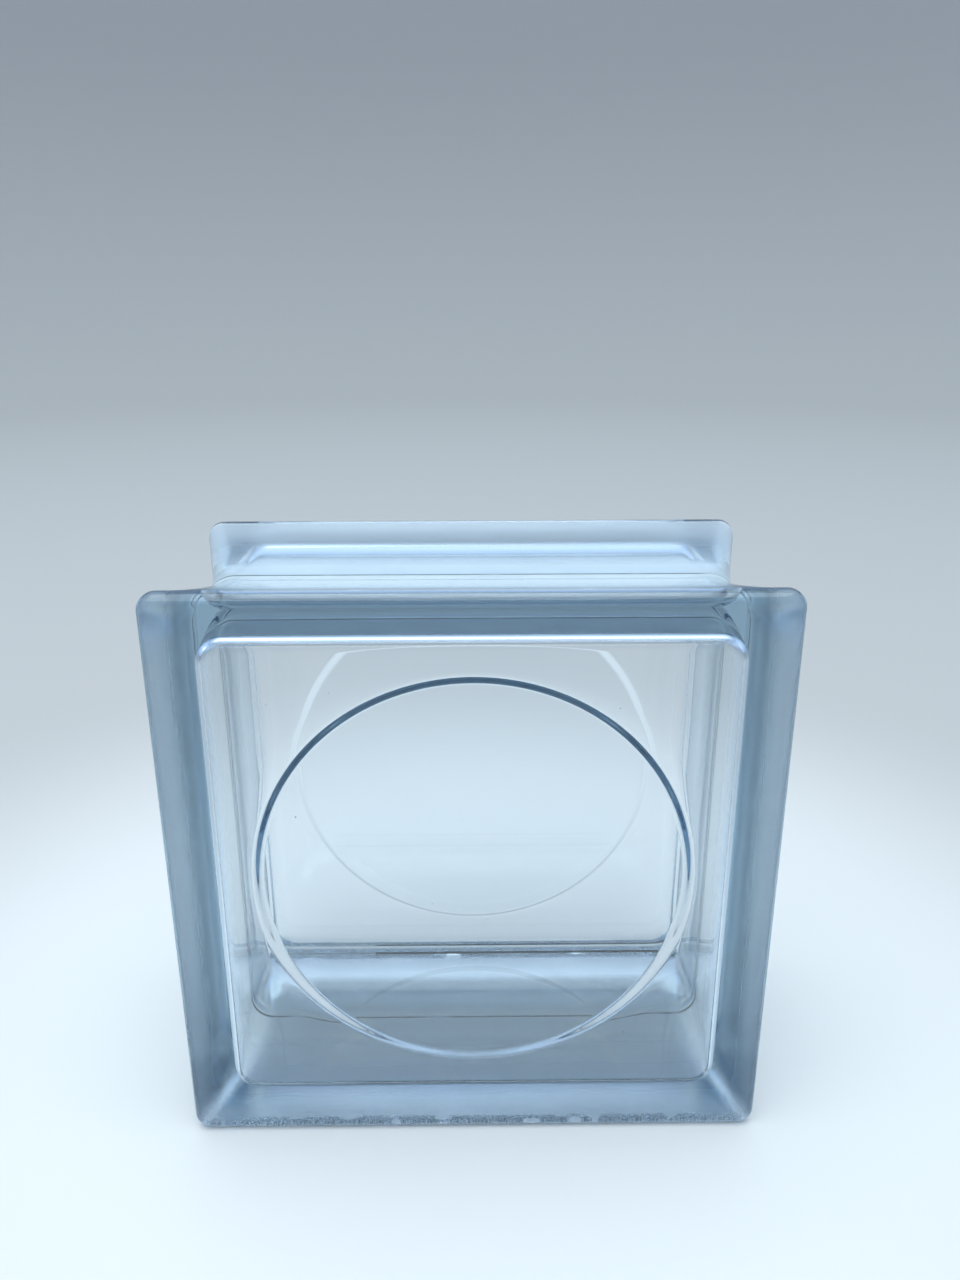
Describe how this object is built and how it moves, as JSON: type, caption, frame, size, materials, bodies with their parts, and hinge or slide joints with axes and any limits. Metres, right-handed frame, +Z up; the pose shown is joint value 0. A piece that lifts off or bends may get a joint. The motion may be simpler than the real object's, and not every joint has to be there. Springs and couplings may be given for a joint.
{
  "type": "glass block",
  "caption": "Square hollow glass building block: two pressed clear shells fused rim to rim, with mortar grooves round the sides and a round bevelled plateau inside each face.",
  "frame": {"origin": "middle of the underside, in the plane of the seam between the two halves", "axes": "+Z up, -Y out of the front face, +Y out of the back face, +X to the right when seen from the front"},
  "size_m": [0.19, 0.095, 0.19],
  "materials": {
    "clear_glass": "clear pressed soda-lime glass with a faint blue-green tint, fire-polished faces and faintly stippled sides"
  },
  "bodies": {
    "root": {"front_half": "clear_glass", "back_half": "clear_glass"}
  },
  "joints": []
}
